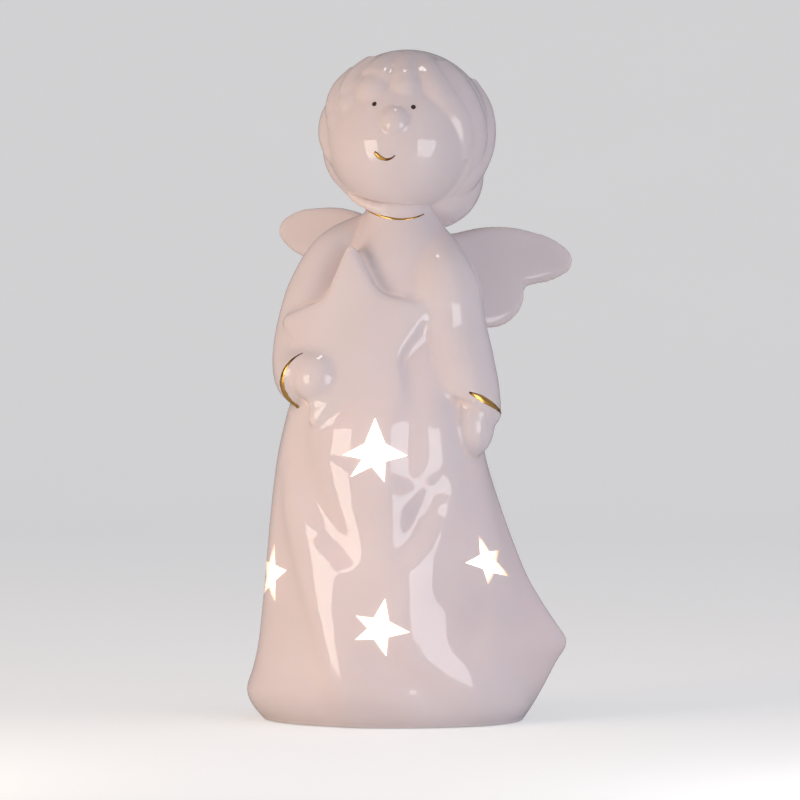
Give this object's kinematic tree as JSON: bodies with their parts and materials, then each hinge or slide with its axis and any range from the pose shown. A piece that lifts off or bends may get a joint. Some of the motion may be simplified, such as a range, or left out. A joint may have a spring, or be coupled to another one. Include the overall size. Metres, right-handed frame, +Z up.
{
  "type": "light-up porcelain angel figure",
  "caption": "Hollow glazed porcelain angel with a star in its arm and star cut-outs in its gown, lit from inside by a push-in coin-cell light with a slide switch.",
  "frame": {"origin": "on the table, under the middle of the figure's bounding box", "axes": "+Z up from the foot to the top of the head, -Y the way the angel faces, +X the angel's own left"},
  "size_m": [0.1036, 0.0766, 0.2179],
  "materials": {
    "glazed_porcelain": "off-white porcelain under a clear gloss glaze",
    "fired_gold": "thin fired gold lustre on the glaze",
    "eye_enamel": "dark brown glossy enamel dot",
    "clear_rubber": "milky silicone rubber",
    "white_plastic": "white moulded plastic",
    "zinc_steel": "zinc-plated steel",
    "cell_steel": "bright nickel-plated steel can",
    "nickel_strip": "nickel-plated spring strip",
    "green_board": "green solder mask on a glass-fibre board",
    "warm_led": "clear epoxy lens, warm white",
    "resistor_tan": "tan lacquer",
    "tinned_steel": "tinned steel",
    "black_plastic": "black moulded plastic"
  },
  "bodies": {
    "figure_and_light": {"angel_figure": "glazed_porcelain", "neckline_gilding": "fired_gold", "right_cuff_gilding": "fired_gold", "left_cuff_gilding": "fired_gold", "mouth_gilding": "fired_gold", "right_eye": "eye_enamel", "left_eye": "eye_enamel", "grip_ring": "clear_rubber", "light_cup": "white_plastic", "light_base": "white_plastic", "battery_door": "white_plastic", "battery_door_screw": "zinc_steel", "case_screw_1": "zinc_steel", "case_screw_2": "zinc_steel", "coin_cell": "cell_steel", "positive_contact": "nickel_strip", "negative_contact": "nickel_strip", "circuit_board": "green_board", "led": "warm_led", "resistor": "resistor_tan", "switch_frame": "tinned_steel"},
    "slider": {"switch_slider": "black_plastic"}
  },
  "joints": [
    {"name": "switch_slide", "type": "slide", "parent": "figure_and_light", "child": "slider", "axis": [-1, 0, 0], "range_m": [0, 0.002]}
  ]
}
